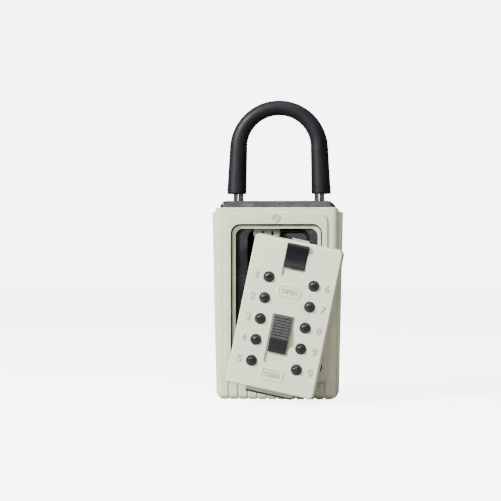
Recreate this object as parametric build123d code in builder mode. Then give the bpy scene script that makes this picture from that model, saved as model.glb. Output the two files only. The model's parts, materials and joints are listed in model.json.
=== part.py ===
"""Portable push-button key lock box: a jacketed housing with a shackle, and its removable lid.

Frame: millimetres, +Z up along the shackle, front towards -Y. The origin is at the centre of the
housing's footprint, on the surface that the box stands on. The lid is kept off the box, in front
of the opening and turned clockwise. It is drawn in its own plane, with u to its right, v up along
it and w towards its front face; w = 0 is the rear edge of its skirt.
"""

import os
from math import cos, radians, sin

from build123d import *

# ---- driving dimensions: jacket ----------------------------------------------------------------
overall_height = 177.5
front_y = -22.0  # face of the raised bezel
back_y = 20.0
bezel_rise, bezel_edge = 1.0, 0.5
bezel_half, bezel_bottom, bezel_top, bezel_radius = 30.15, 10.3, 109.9, 5.3
face_top, face_half_top, face_half_bottom, face_draft = 112.9, 36.1, 35.0, 0.3
face_edge, face_foot_edge, face_top_edge, face_corner, foot_corner = 3.0, 3.0, 0.8, 2.0, 4.7
wrap_front_y, wrap_top, wrap_half_top, wrap_half_bottom, wrap_draft = -14.0, 110.7, 38.7, 36.2, -0.9
wrap_edge, wrap_corner, wrap_back_edge, back_trim = 1.0, 1.5, 0.5, 0.1
flute_count, flute_pitch, flute_radius, flute_bend, flute_back_y = 11, 5.6, 0.8, 2.6, -8.0
disc_z, disc_radius, disc_rim, disc_rise = 106.7, 2.3, 0.6, 0.45

# ---- driving dimensions: recess for the lid ------------------------------------------------------
recess_half, recess_bottom, recess_top, recess_radius, recess_depth = 26.9, 13.95, 103.15, 5.5, 2.4
groove_width, groove_depth = 0.9, 0.8
rim_half, rim_bottom, rim_top, rim_radius = 24.25, 16.6, 100.5, 4.4
notch_half, notch_bottom = 15.2, 11.4  # room for the lid's tongue
keeper_half, keeper_top, keeper_front_y, keeper_wall = 8.0, 106.4, -21.6, 0.7

# ---- driving dimensions: housing and back plate ----------------------------------------------------
housing_half, housing_bottom, housing_top = 33.6, 3.5, 116.9
housing_front_y, housing_back_y = -18.0, 18.0
housing_corner, housing_edge = 3.9, 1.4
cavity_bottom, cavity_shelf_y, cavity_back_y = 12.0, -5.5, 14.5
cavity_half, cavity_corner, cavity_floor_radius = 18.5, 6.0, 2.5
tiny = 0.01  # tolerance for picking edges by place
pocket_inner_x, pocket_outer_x, pocket_bottom, pocket_top = 19.7, 31.2, 12.0, 77.0
pocket_front_y, pocket_corner = -4.8, 1.4
plate_half, plate_bottom, plate_top, plate_corner = 32.0, 6.0, 110.0, 3.0
plate_thick, plate_gap = 1.2, 0.3
plate_screw_places = [(-28, 9), (28, 9), (-29.3, 92), (29.3, 92)]
screw_radius, screw_head_radius, screw_length, screw_clearance = 1.5, 2.5, 9.0, 0.05
screw_slot_length, screw_slot_width = 3.2, 0.7

# ---- driving dimensions: shackle and its lock ------------------------------------------------------
leg_x, rod_radius, rod_chamfer = 24.3, 3.0, 0.5
bow_centre_z, bow_radius = 148.7, 24.3
sleeve_top_radius, sleeve_bow_radius, sleeve_end_radius = 4.5, 5.25, 5.85
sleeve_end_z, sleeve_inner_x, sleeve_end_edge = 121.4, 19.55, 0.8
toe_end_z, heel_end_z, notch_depth = 99.5, 54.5, 1.3
leg_bore_radius, bush_radius, bush_bottom, bush_clearance, toe_room = 3.4, 4.9, 108.5, 0.06, 1.0
ring_radius, ring_thick, ring_z = 4.2, 2.0, 56.5
lock_bottom, lock_top, lock_left, lock_right, lock_front_y = 102.5, 106.5, -22.5, 16.0, -13.0
slide_left, rib_widths, rib_gap, rib_corner = -13.9, (4.8, 4.5, 3.7), 1.2, 0.8
slide_bottom, slide_front_y, slide_back_y, slide_thick = 96.1, -15.0, -5.0, 1.2
slide_gap, release_travel = 0.25, 4.0
neck_left, neck_right, neck_front_y, neck_back_y, tenon_radius = -9.0, -3.6, -12.0, -8.0, 1.3
locking_thick, locking_right = 2.5, 4.0
nose_gap, nose_half, nose_length, nose_step, locking_rim = 0.3, 2.5, 6.0, 1.5, 0.5
small_spring_radius, spring_wire = 1.5, 0.45

# ---- driving dimensions: lid and its cover ---------------------------------------------------------
lid_turn = 11.85  # degrees clockwise, seen from the front
lid_x, lid_z, lid_gap = 7.15, 50.25, 30.0
engagement = 1.6  # how far the closed lid's skirt goes into the recess
lid_width, lid_height, lid_thick, lid_draft = 51.8, 86.6, 8.2, 5.0
lid_corner, lid_edge, lid_wall, front_wall = 3.0, 0.9, 2.0, 2.4
lip_reach, lip_thick = 1.5, 2.4
label_frames = [(14.35, 12.6, 6.2), (-33.5, 12.4, 6.4)]  # v, width and height
frame_line, frame_rise, frame_corner = 0.5, 0.4, 1.4
boss_half, boss_thick, open_boss_v, clear_boss_v = 2.5, 1.6, 9.5, -35.0
post_radius, case_screw_places = 2.3, [(-19.6, -36), (19.6, -36), (-19.6, 36), (19.6, 36)]
case_screw_radius, case_screw_head, case_screw_length = 1.0, 2.0, 4.0

# ---- driving dimensions: lock case -------------------------------------------------------------------
case_half, case_low, case_high, case_depth, case_wall = 17.5, -36.0, 33.0, 9.0, 1.2
case_flange_half, case_flange_v, case_front, case_corner, case_edge = 22.4, 39.6, 2.4, 2.0, 1.5
tongue_half, tongue_reach, tongue_thick, tongue_corner = 13.5, 2.8, 1.2, 0.8
rivet_radius, rivet_clearance, rivet_gap = 1.5, 0.06, 0.1
rivet_head, rivet_head_thick, rivet_length = 3.0, 1.3, 1.8
guide_w, guide_thick = -4.0, 1.0

# ---- driving dimensions: buttons -----------------------------------------------------------------------
key_u, key_pitch, key_mid_v = 12.96, 12.06, -3.8
collar_radius, collar_rise, barrel_radius = 3.2, 0.6, 2.8
key_radius, key_proud, key_dome, key_clearance = 2.05, 1.7, 1.2, 0.08
key_stem_radius, key_stem_end = 1.5, -5.0
key_flange_radius, key_flange_low, key_flange_high = 3.0, 4.7, 5.7
key_spring_radius = 2.4

# ---- driving dimensions: the two knobs and what they move --------------------------------------------
slide_play, slider_low, slider_high, stem_half = 0.2, 2.6, 3.8, 1.7
well_depth, well_half, well_gap, well_corner = 1.2, 6.45, 0.35, 1.0
open_half, open_low, open_high, open_travel = 6.1, 27.6, 41.2, 4.7
open_lip_w, open_dip_w, open_ridge_w, open_ridge = 8.9, 8.0, 10.4, 1.9
open_stem_low, open_stem_high, open_slider_low, open_slider_high = 31.7, 36.2, 21.0, 40.7
bolt_half, bolt_reach, bolt_low, bolt_high, bolt_tail = 4.9, 1.15, -0.3, 0.65, 38.2
bolt_foot_half, bolt_foot_length, bolt_foot_room = 1.5, 1.7, 0.4
gate_w, gate_thick, gate_half, gate_low, gate_high, gate_room = -6.2, 1.0, 15.8, -29.8, 29.0, 0.45
post_half, post_low, post_high, post_room = 2.0, 23.0, 26.6, 0.6
clear_half, clear_low, clear_high, clear_travel = 5.2, -20.9, 0.4, 6.2
clear_crest, clear_crest_w, clear_low_w, clear_high_w = -13.0, 11.1, 8.6, 8.5
crest_flat, clear_sag = 0.4, 0.7
clear_stem_low, clear_stem_high, clear_slider_half = -6.5, -2.5, 8.5
clear_slider_low, clear_slider_high = -25.0, 0.0
clear_rib_count, clear_rib_radius = 7, 0.3

# ---- derived values --------------------------------------------------------------------------------
jacket_front_y = front_y + bezel_rise
ledge_y = front_y + recess_depth
recess_mid = (recess_bottom + recess_top) / 2
front_inner = lid_thick - front_wall
well_floor = lid_thick - well_depth
foot = well_floor + slide_play  # underside of both knobs
half_height = lid_height / 2
key_rows = [key_mid_v + key_pitch * row for row in (2, 1, 0, -1, -2)]
key_places = {str(i + 1): (-key_u, v) for i, v in enumerate(key_rows)}
key_places |= {str((i + 6) % 10): (key_u, v) for i, v in enumerate(key_rows)}

turn = radians(lid_turn)
lid_plane = Plane(
    origin=(lid_x, front_y + engagement - lid_gap, lid_z),
    x_dir=(cos(turn), 0, -sin(turn)),
    z_dir=(0, -1, 0),
)


def finish(block, name):
    """Label a finished piece and write its STEP file."""
    block.part.label = name
    export_step(block.part, f"parts/{name}.step")
    print(f"{name:22s} solids {len(block.part.solids()):3d}  volume {block.part.volume:10.1f} mm3")


def front(y):
    """The plane at a given y that faces the front, with X to the right and Z up."""
    return Plane.XZ.offset(-y)


def rear(y):
    """The plane at a given y that faces the back, with Z up."""
    return Plane(origin=(0, y, 0), x_dir=(-1, 0, 0), z_dir=(0, 1, 0))


def across(u):
    """The plane across the lid at a given u, drawn in v and w."""
    origin = lid_plane.from_local_coords((u, 0, 0))
    return Plane(origin=origin, x_dir=lid_plane.y_dir, z_dir=lid_plane.x_dir)


def along(v, w=0.0):
    """The plane square to the lid's height at a given v, with its centre at w."""
    origin = lid_plane.from_local_coords((0, v, w))
    return Plane(origin=origin, x_dir=lid_plane.x_dir, z_dir=lid_plane.y_dir)


def span(low, high, mode=Mode.ADD):
    """A rectangle between two corners, in the sketch being drawn."""
    with Locations(((low[0] + high[0]) / 2, (low[1] + high[1]) / 2)):
        return Rectangle(high[0] - low[0], high[1] - low[1], mode=mode)


def rounded_span(low, high, radius):
    """A round-cornered rectangle between two corners, in the sketch being drawn."""
    with Locations(((low[0] + high[0]) / 2, (low[1] + high[1]) / 2)):
        return RectangleRounded(high[0] - low[0], high[1] - low[1], radius)


def jacket_block(y_near, y_far, top, half_bottom, half_top, draft, edges):
    """A block of the jacket: wider at its top, by draft wider at its back, and rounded.

    edges holds the radii of its upright front edges, its front bottom edge, its front top edge,
    its bottom corners and its top corners.
    """
    upright, front_bottom, front_top, bottom_corner, top_corner = edges
    with BuildPart() as block:
        for height, half in ((0, half_bottom), (top, half_top)):
            with BuildSketch(Plane.XY.offset(height)) as plan:
                far = half + draft
                Polygon((-half, y_near), (half, y_near), (far, y_far), (-far, y_far), align=None)
                fillet(plan.vertices().group_by(Axis.Y)[0], upright)
        loft()
        with BuildSketch(Plane.YZ.offset(-overall_height / 2)) as profile:
            span((y_near, 0), (y_far, top))
            near = profile.vertices().group_by(Axis.X)[0].sort_by(Axis.Y)
            fillet(near[0], front_bottom)
            near = profile.vertices().group_by(Axis.X)[0].sort_by(Axis.Y)
            fillet(near[-1], front_top)
        extrude(amount=overall_height, mode=Mode.INTERSECT)
        with BuildSketch(front(y_far)) as outline:
            wide_bottom, wide_top = half_bottom + max(draft, 0), half_top + max(draft, 0)
            Polygon((-wide_bottom, 0), (wide_bottom, 0), (wide_top, top), (-wide_top, top), align=None)
            fillet(outline.vertices().group_by(Axis.Y)[0], bottom_corner)
            fillet(outline.vertices().group_by(Axis.Y)[-1], top_corner)
        extrude(amount=y_far - y_near, mode=Mode.INTERSECT)
    return block.part


os.makedirs("parts", exist_ok=True)

# ---- jacket ----------------------------------------------------------------------------------
# One vertical flute, as a bar that runs down the front and back under the bottom edge.
with BuildPart() as flute:
    with BuildLine(Plane.YZ):
        fall = Line((jacket_front_y, bezel_bottom), (jacket_front_y, flute_bend))
        bend = JernArc(fall @ 1, (0, -1), flute_bend, 90)
        Line(bend @ 1, (flute_back_y, 0))
    with BuildSketch(Plane.XY.offset(bezel_bottom)):
        with Locations((0, jacket_front_y)):
            Circle(flute_radius)
    sweep()

face_block = jacket_block(
    jacket_front_y,
    wrap_front_y + wrap_edge,
    face_top,
    face_half_bottom,
    face_half_top,
    face_draft,
    (face_edge, face_foot_edge, face_top_edge, foot_corner, face_corner),
)
wrap_block = jacket_block(
    wrap_front_y,
    back_y + back_trim,
    wrap_top,
    wrap_half_bottom,
    wrap_half_top,
    wrap_draft,
    (wrap_edge, wrap_edge / 2, wrap_edge / 2, foot_corner, wrap_corner),
)
with BuildPart() as jacket:
    add(face_block)
    add(wrap_block)
    fillet(jacket.edges().group_by(Axis.Y)[-1], wrap_back_edge)
    with BuildSketch(front(back_y)):
        span((-overall_height, -overall_height), (overall_height, overall_height))
    extrude(amount=-2 * back_trim, mode=Mode.SUBTRACT)
    with BuildSketch(front(jacket_front_y)):
        rounded_span((-bezel_half, bezel_bottom), (bezel_half, bezel_top), bezel_radius)
    extrude(amount=bezel_rise)
    fillet(jacket.edges().group_by(Axis.Y)[0], bezel_edge)
    with Locations(*[(flute_pitch * (i - (flute_count - 1) / 2), 0, 0) for i in range(flute_count)]):
        add(flute.part, mode=Mode.SUBTRACT)
    with BuildSketch(front(front_y)):
        rounded_span((-recess_half, recess_bottom), (recess_half, recess_top), recess_radius)
        span((-notch_half, notch_bottom), (notch_half, recess_mid))
    extrude(amount=-recess_depth, mode=Mode.SUBTRACT)
    with BuildSketch(front(ledge_y)):
        rounded_span((-recess_half, recess_bottom), (recess_half, recess_top), recess_radius)
        offset(amount=-groove_width, mode=Mode.SUBTRACT)
    extrude(amount=-groove_depth, mode=Mode.SUBTRACT)
    with BuildSketch(front(ledge_y)):
        rounded_span((-rim_half, rim_bottom), (rim_half, rim_top), rim_radius)
    extrude(amount=-(housing_front_y - ledge_y), mode=Mode.SUBTRACT)
    with BuildSketch(front(housing_front_y)) as outline:
        span((-housing_half, housing_bottom), (housing_half, overall_height))
        fillet(outline.vertices().group_by(Axis.Y)[0], housing_corner)
    extrude(amount=-(housing_back_y - housing_front_y), mode=Mode.SUBTRACT)
    with BuildSketch(front(back_y)):
        rounded_span(
            (-plate_half - plate_gap, plate_bottom - plate_gap),
            (plate_half + plate_gap, plate_top + plate_gap),
            plate_corner + plate_gap,
        )
    extrude(amount=back_y - housing_back_y, mode=Mode.SUBTRACT)
    with BuildSketch(front(housing_front_y)):
        span((-keeper_half, recess_top), (keeper_half, keeper_top))
    extrude(amount=housing_front_y - keeper_front_y, mode=Mode.SUBTRACT)
finish(jacket, "jacket")

with BuildPart() as bezel_disc:
    with BuildSketch(front(front_y)):
        with Locations((0, disc_z)):
            Circle(disc_radius)
    extrude(amount=disc_rise)
    with BuildSketch(front(front_y - disc_rise)):
        with Locations((0, disc_z)):
            Circle(disc_radius - disc_rim)
    extrude(amount=-disc_rise / 2, mode=Mode.SUBTRACT)
finish(bezel_disc, "bezel_disc")

with BuildPart() as latch_keeper:
    with BuildSketch(front(housing_front_y)):
        span((-keeper_half, recess_top), (keeper_half, keeper_top))
    extrude(amount=housing_front_y - keeper_front_y)
    with BuildSketch(front(housing_front_y)):
        pocket_half = keeper_half - keeper_wall
        span((-pocket_half, recess_top), (pocket_half, keeper_top - keeper_wall))
    extrude(amount=housing_front_y - keeper_front_y - keeper_wall, mode=Mode.SUBTRACT)
finish(latch_keeper, "latch_keeper")

# ---- housing ---------------------------------------------------------------------------------
with BuildPart() as housing:
    with BuildSketch(front(housing_front_y)):
        rounded_span((-housing_half, housing_bottom), (housing_half, housing_top), housing_corner)
    extrude(amount=-(housing_back_y - housing_front_y))
    fillet(housing.edges().group_by(Axis.Y)[0] + housing.edges().group_by(Axis.Y)[-1], housing_edge)
    with BuildSketch(front(housing_front_y)):
        rounded_span((-rim_half, cavity_bottom), (rim_half, rim_top), rim_radius)
    extrude(amount=-(cavity_shelf_y - housing_front_y), mode=Mode.SUBTRACT)
    with BuildSketch(front(cavity_shelf_y)):
        rounded_span((-cavity_half, cavity_bottom), (cavity_half, rim_top), cavity_corner)
    extrude(amount=-(cavity_back_y - cavity_shelf_y), mode=Mode.SUBTRACT)
    fillet(
        housing.edges().filter_by_position(Axis.Y, cavity_back_y - tiny, cavity_back_y + tiny),
        cavity_floor_radius,
    )
    with BuildSketch(front(housing_back_y)):
        rounded_span((pocket_inner_x, pocket_bottom), (pocket_outer_x, pocket_top), pocket_corner)
        mirror(about=Plane.YZ)
    extrude(amount=housing_back_y - pocket_front_y, mode=Mode.SUBTRACT)
    with BuildSketch(front(housing_back_y)):
        span((lock_left, lock_bottom), (lock_right, lock_top))
    extrude(amount=housing_back_y - lock_front_y, mode=Mode.SUBTRACT)
    with BuildSketch(Plane.XY.offset(rim_top)):
        span(
            (neck_left - slide_gap, neck_front_y - slide_gap),
            (neck_right + release_travel + slide_gap, neck_back_y + slide_gap),
        )
    extrude(amount=lock_bottom - rim_top, mode=Mode.SUBTRACT)
    with BuildSketch(Plane.XY.offset(bush_bottom)):
        with Locations((-leg_x, 0), (leg_x, 0)):
            Circle(bush_radius)
    extrude(amount=housing_top - bush_bottom, mode=Mode.SUBTRACT)
    for x, low in ((-leg_x, toe_end_z - toe_room), (leg_x, pocket_top)):
        with BuildSketch(Plane.XY.offset(low)):
            with Locations((x, 0)):
                Circle(leg_bore_radius)
        extrude(amount=bush_bottom - low, mode=Mode.SUBTRACT)
    with BuildSketch(front(housing_back_y)):
        with Locations(*plate_screw_places):
            Circle(screw_radius)
    extrude(amount=screw_length, mode=Mode.SUBTRACT)
finish(housing, "housing")

with BuildPart() as back_plate:
    with BuildSketch(front(housing_back_y + plate_thick)):
        rounded_span((-plate_half, plate_bottom), (plate_half, plate_top), plate_corner)
    extrude(amount=plate_thick)
    with Locations(rear(housing_back_y + plate_thick)):
        with Locations(*plate_screw_places):
            CounterSinkHole(screw_radius, screw_head_radius, depth=plate_thick)
finish(back_plate, "back_plate")

with BuildPart() as back_plate_screws:
    with Locations(rear(housing_back_y + plate_thick)):
        with Locations(*plate_screw_places):
            Cylinder(
                screw_radius - screw_clearance,
                screw_length,
                align=(Align.CENTER, Align.CENTER, Align.MAX),
            )
            Cone(
                screw_radius - screw_clearance,
                screw_head_radius - 2 * screw_clearance,
                plate_thick,
                align=(Align.CENTER, Align.CENTER, Align.MAX),
            )
    with BuildSketch(front(housing_back_y + plate_thick)):
        with Locations(*plate_screw_places):
            Rectangle(screw_slot_width, screw_slot_length)
            Rectangle(screw_slot_length, screw_slot_width)
    extrude(amount=plate_thick / 2, mode=Mode.SUBTRACT)
finish(back_plate_screws, "back_plate_screws")

# ---- shackle ---------------------------------------------------------------------------------
with BuildPart() as shackle:
    with BuildLine(Plane.XZ):
        toe = Line((-leg_x, toe_end_z), (-leg_x, bow_centre_z))
        bow = ThreePointArc(toe @ 1, (0, bow_centre_z + leg_x), (leg_x, bow_centre_z))
        Line(bow @ 1, (leg_x, heel_end_z))
    with BuildSketch(Plane.XY.offset(toe_end_z)):
        with Locations((-leg_x, 0)):
            Circle(rod_radius)
    sweep()
    chamfer(shackle.edges().filter_by(GeomType.CIRCLE).group_by(Axis.Z)[0], rod_chamfer)
    with BuildSketch(front(-rod_radius)):
        span((-leg_x + rod_radius - notch_depth, lock_bottom - toe_room), (-leg_x + rod_radius, lock_top))
    extrude(amount=-2 * rod_radius, mode=Mode.SUBTRACT)
finish(shackle, "shackle")

with BuildPart() as shackle_sleeve:
    with BuildLine(Plane.XZ) as bow_line:
        ThreePointArc(
            (-bow_radius, bow_centre_z), (0, bow_centre_z + bow_radius), (bow_radius, bow_centre_z)
        )
    for share, radius in ((0, sleeve_bow_radius), (0.5, sleeve_top_radius), (1, sleeve_bow_radius)):
        with BuildSketch(Plane(origin=bow_line.line @ share, z_dir=bow_line.line % share)):
            Circle(radius)
    sweep(multisection=True)
    for side in (-1, 1):
        with BuildSketch(Plane.XY.offset(sleeve_end_z)):
            with Locations((side * (sleeve_inner_x + sleeve_end_radius), 0)):
                Circle(sleeve_end_radius)
        with BuildSketch(Plane.XY.offset(bow_centre_z)):
            with Locations((side * bow_radius, 0)):
                Circle(sleeve_bow_radius)
        loft()
    fillet(shackle_sleeve.edges().group_by(Axis.Z)[0], sleeve_end_edge)
    add(shackle.part, mode=Mode.SUBTRACT)
finish(shackle_sleeve, "shackle_sleeve")

with BuildPart() as shackle_bushings:
    with BuildSketch(Plane.XY.offset(bush_bottom)):
        with Locations((-leg_x, 0), (leg_x, 0)):
            Circle(bush_radius)
            Circle(rod_radius + bush_clearance, mode=Mode.SUBTRACT)
    extrude(amount=housing_top - bush_bottom)
finish(shackle_bushings, "shackle_bushings")

with BuildPart() as heel_ring:
    with BuildSketch(Plane.XY.offset(ring_z)):
        with Locations((leg_x, 0)):
            Circle(ring_radius)
            Circle(rod_radius, mode=Mode.SUBTRACT)
    extrude(amount=ring_thick)
finish(heel_ring, "heel_ring")

# ---- shackle release -------------------------------------------------------------------------
slide_width = sum(rib_widths) + rib_gap * (len(rib_widths) - 1)
slide_floor = rim_top - slide_gap
plate_low = lock_bottom + slide_gap
with BuildPart() as release_slide:
    with BuildSketch(Plane.XY.offset(slide_floor)):
        span((slide_left, slide_front_y), (slide_left + slide_width, slide_back_y))
    extrude(amount=-slide_thick)
    left = slide_left
    for width in rib_widths:
        with BuildSketch(front(slide_front_y)):
            rounded_span((left, slide_bottom), (left + width, slide_floor - slide_thick / 2), rib_corner)
        extrude(amount=-(slide_back_y - slide_front_y))
        left += width + rib_gap
    with BuildSketch(Plane.XY.offset(slide_floor)):
        span((neck_left, neck_front_y), (neck_right, neck_back_y))
    extrude(amount=plate_low - slide_floor)
    with BuildSketch(Plane.XY.offset(plate_low)):
        with Locations(((neck_left + neck_right) / 2, (neck_front_y + neck_back_y) / 2)):
            Circle(tenon_radius)
    extrude(amount=locking_thick)
finish(release_slide, "release_slide")

nose_x = -leg_x + rod_radius + nose_gap
with BuildPart() as locking_plate:
    with BuildSketch(Plane.XY.offset(plate_low)):
        arm_front, arm_back = neck_front_y - locking_rim, neck_back_y + locking_rim
        span((nose_x + nose_step, arm_front), (locking_right, arm_back))
        span((nose_x, -nose_half), (nose_x + nose_length, nose_half))
        span((nose_x + nose_step, arm_front), (nose_x + nose_length, nose_half))
        with Locations(((neck_left + neck_right) / 2, (neck_front_y + neck_back_y) / 2)):
            Circle(tenon_radius, mode=Mode.SUBTRACT)
    extrude(amount=locking_thick)
finish(locking_plate, "locking_plate")

spring_middle = (0, (neck_front_y + neck_back_y) / 2, plate_low + locking_thick / 2)
with BuildPart() as release_spring:
    with BuildSketch(Plane.YZ.offset(locking_right)):
        with Locations(spring_middle[1:]):
            Circle(small_spring_radius)
            Circle(small_spring_radius - spring_wire, mode=Mode.SUBTRACT)
    extrude(amount=lock_right - locking_right)
finish(release_spring, "release_spring")

# ---- lid cover -------------------------------------------------------------------------------
with BuildPart() as lid_cover:
    with BuildSketch(lid_plane):
        RectangleRounded(lid_width, lid_height, lid_corner)
    extrude(amount=lid_thick, taper=lid_draft)
    fillet(lid_cover.edges().group_by(Axis.Y)[0], lid_edge)
    with BuildSketch(lid_plane.offset(tongue_thick)):
        lip_low = (-tongue_half, -half_height - lip_reach)
        rounded_span(lip_low, (tongue_half, lid_wall - half_height), tongue_corner)
    extrude(amount=lip_thick)
    with BuildSketch(lid_plane):
        RectangleRounded(lid_width - 2 * lid_wall, lid_height - 2 * lid_wall, lid_corner - 1)
    extrude(amount=front_inner, taper=lid_draft, mode=Mode.SUBTRACT)
    with BuildSketch(lid_plane):
        room = tongue_half + slide_play
        span((-room, -lid_height), (room, lid_wall + slide_play - half_height))
    extrude(amount=tongue_thick, mode=Mode.SUBTRACT)
    with BuildSketch(lid_plane):
        span((-bolt_half - slide_play, half_height / 2), (bolt_half + slide_play, lid_height))
    extrude(amount=bolt_high + slide_play, mode=Mode.SUBTRACT)
    with BuildSketch(lid_plane.offset(tongue_thick)):
        with Locations(*case_screw_places):
            Circle(post_radius)
    extrude(amount=front_inner - tongue_thick)
    with BuildSketch(lid_plane):
        with Locations(*case_screw_places):
            Circle(post_radius)
    extrude(amount=case_front, mode=Mode.SUBTRACT)
    with BuildSketch(lid_plane.offset(case_front)):
        span((-boss_half, open_boss_v - boss_thick), (boss_half, open_boss_v))
    extrude(amount=front_inner - case_front)
    with BuildSketch(lid_plane.offset(case_front)):
        span((-boss_half, clear_boss_v - boss_thick), (boss_half, clear_boss_v))
    extrude(amount=front_inner - case_front)
    with BuildSketch(lid_plane):
        with Locations(*case_screw_places):
            Circle(case_screw_radius)
    extrude(amount=front_inner, mode=Mode.SUBTRACT)
    with BuildSketch(lid_plane.offset(well_floor)):
        for low, high in (
            (open_low - open_travel, open_high),
            (clear_low - clear_travel, clear_high),
        ):
            rounded_span((-well_half, low - well_gap), (well_half, high + well_gap), well_corner)
    extrude(amount=lid_thick, mode=Mode.SUBTRACT)
    with BuildSketch(lid_plane.offset(front_inner)):
        for low, high, travel in (
            (open_stem_low, open_stem_high, open_travel),
            (clear_stem_low, clear_stem_high, clear_travel),
        ):
            span(
                (-stem_half - slide_play, low - travel - slide_play),
                (stem_half + slide_play, high + slide_play),
            )
    extrude(amount=front_wall, mode=Mode.SUBTRACT)
    with BuildSketch(lid_plane.offset(front_inner)):
        with Locations(*key_places.values()):
            Circle(barrel_radius)
    extrude(amount=front_wall, mode=Mode.SUBTRACT)
    with BuildSketch(lid_plane.offset(lid_thick)):
        for v, width, height in label_frames:
            with Locations((0, v)):
                RectangleRounded(width, height, frame_corner)
                RectangleRounded(
                    width - 2 * frame_line,
                    height - 2 * frame_line,
                    frame_corner - frame_line,
                    mode=Mode.SUBTRACT,
                )
    extrude(amount=frame_rise)
finish(lid_cover, "lid_cover")

# ---- lock case and the plates fixed in it ------------------------------------------------------
with BuildPart() as lock_case:
    with BuildSketch(lid_plane.offset(tongue_thick)):
        RectangleRounded(2 * case_flange_half, 2 * case_flange_v, case_corner)
        with Locations(*case_screw_places):
            Circle(case_screw_radius + slide_play, mode=Mode.SUBTRACT)
        foot_room = bolt_foot_half + bolt_foot_room
        span((-foot_room, case_high + slide_play), (foot_room, half_height), mode=Mode.SUBTRACT)
    extrude(amount=case_front - tongue_thick)
    with BuildSketch(lid_plane.offset(tongue_thick)):
        rounded_span((-case_half, case_low), (case_half, case_high), case_corner + case_wall)
    extrude(amount=-(case_depth + tongue_thick))
    fillet(lock_case.edges().group_by(Axis.Y)[-1], case_edge)
    with BuildSketch(lid_plane.offset(case_front)):
        rounded_span(
            (-case_half + case_wall, case_low + case_wall),
            (case_half - case_wall, case_high - case_wall),
            case_corner,
        )
    extrude(amount=-(case_depth + case_front - case_wall), mode=Mode.SUBTRACT)
    with BuildSketch(lid_plane):
        Circle(rivet_radius + rivet_clearance)
    extrude(amount=-case_depth, mode=Mode.SUBTRACT)
finish(lock_case, "lock_case")

with BuildPart() as lock_case_screws:
    with BuildSketch(lid_plane):
        with Locations(*case_screw_places):
            Circle(case_screw_head)
    extrude(amount=tongue_thick)
    with BuildSketch(lid_plane.offset(tongue_thick)):
        with Locations(*case_screw_places):
            Circle(case_screw_radius)
    extrude(amount=case_screw_length)
    with BuildSketch(lid_plane):
        with Locations(*case_screw_places):
            Rectangle(2 * case_screw_head, screw_slot_width)
    extrude(amount=tongue_thick / 2, mode=Mode.SUBTRACT)
finish(lock_case_screws, "lock_case_screws")

with BuildPart() as tongue_plate:
    with BuildSketch(lid_plane):
        tongue_low = (-tongue_half, -half_height - tongue_reach)
        rounded_span(tongue_low, (tongue_half, case_low - slide_play), tongue_corner)
    extrude(amount=tongue_thick)
finish(tongue_plate, "tongue_plate")

with BuildPart() as centre_rivet:
    with BuildSketch(lid_plane.offset(-case_depth - rivet_gap)):
        Circle(rivet_head)
    extrude(amount=-rivet_head_thick)
    fillet(centre_rivet.edges().group_by(Axis.Y)[-1], rivet_head_thick * 0.6)
    with BuildSketch(lid_plane.offset(-case_depth - rivet_gap)):
        Circle(rivet_radius)
    extrude(amount=rivet_length)
finish(centre_rivet, "centre_rivet")

with BuildPart() as guide_plate:
    with BuildSketch(lid_plane.offset(guide_w)):
        rounded_span(
            (-case_half + case_wall, case_low + case_wall),
            (case_half - case_wall, case_high - case_wall),
            case_corner,
        )
        span(
            (-post_half - post_room, post_low - open_travel - post_room),
            (post_half + post_room, case_high),
            mode=Mode.SUBTRACT,
        )
        with Locations(*key_places.values()):
            Circle(key_stem_radius + key_clearance, mode=Mode.SUBTRACT)
    extrude(amount=guide_thick)
finish(guide_plate, "guide_plate")

with BuildPart() as button_bushings:
    with BuildSketch(lid_plane.offset(front_inner)):
        with Locations(*key_places.values()):
            Circle(barrel_radius)
    extrude(amount=front_wall)
    with BuildSketch(lid_plane.offset(lid_thick)):
        with Locations(*key_places.values()):
            Circle(collar_radius)
    extrude(amount=collar_rise)
    chamfer(button_bushings.edges().group_by(Axis.Y)[0], collar_rise * 0.6)
    with BuildSketch(lid_plane.offset(front_inner)):
        with Locations(*key_places.values()):
            Circle(key_radius + key_clearance)
    extrude(amount=front_wall + collar_rise, mode=Mode.SUBTRACT)
finish(button_bushings, "button_bushings")

# ---- buttons and their springs -----------------------------------------------------------------
key_top = lid_thick + collar_rise + key_proud
for digit, place in key_places.items():
    with BuildPart() as button:
        with BuildSketch(lid_plane.offset(key_stem_end)):
            with Locations(place):
                Circle(key_stem_radius)
        extrude(amount=key_flange_low - key_stem_end)
        with BuildSketch(lid_plane.offset(key_flange_low)):
            with Locations(place):
                Circle(key_flange_radius)
        extrude(amount=key_flange_high - key_flange_low)
        with BuildSketch(lid_plane.offset(key_flange_high)):
            with Locations(place):
                Circle(key_radius)
        extrude(amount=key_top - key_flange_high)
        fillet(button.edges().group_by(Axis.Y)[0], key_dome)
    finish(button, f"button_{digit}")

    with BuildPart() as button_spring:
        with BuildSketch(lid_plane.offset(guide_w + guide_thick)):
            with Locations(place):
                Circle(key_spring_radius)
                Circle(key_spring_radius - spring_wire, mode=Mode.SUBTRACT)
        extrude(amount=key_flange_low - guide_w - guide_thick)
    finish(button_spring, f"button_spring_{digit}")

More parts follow.
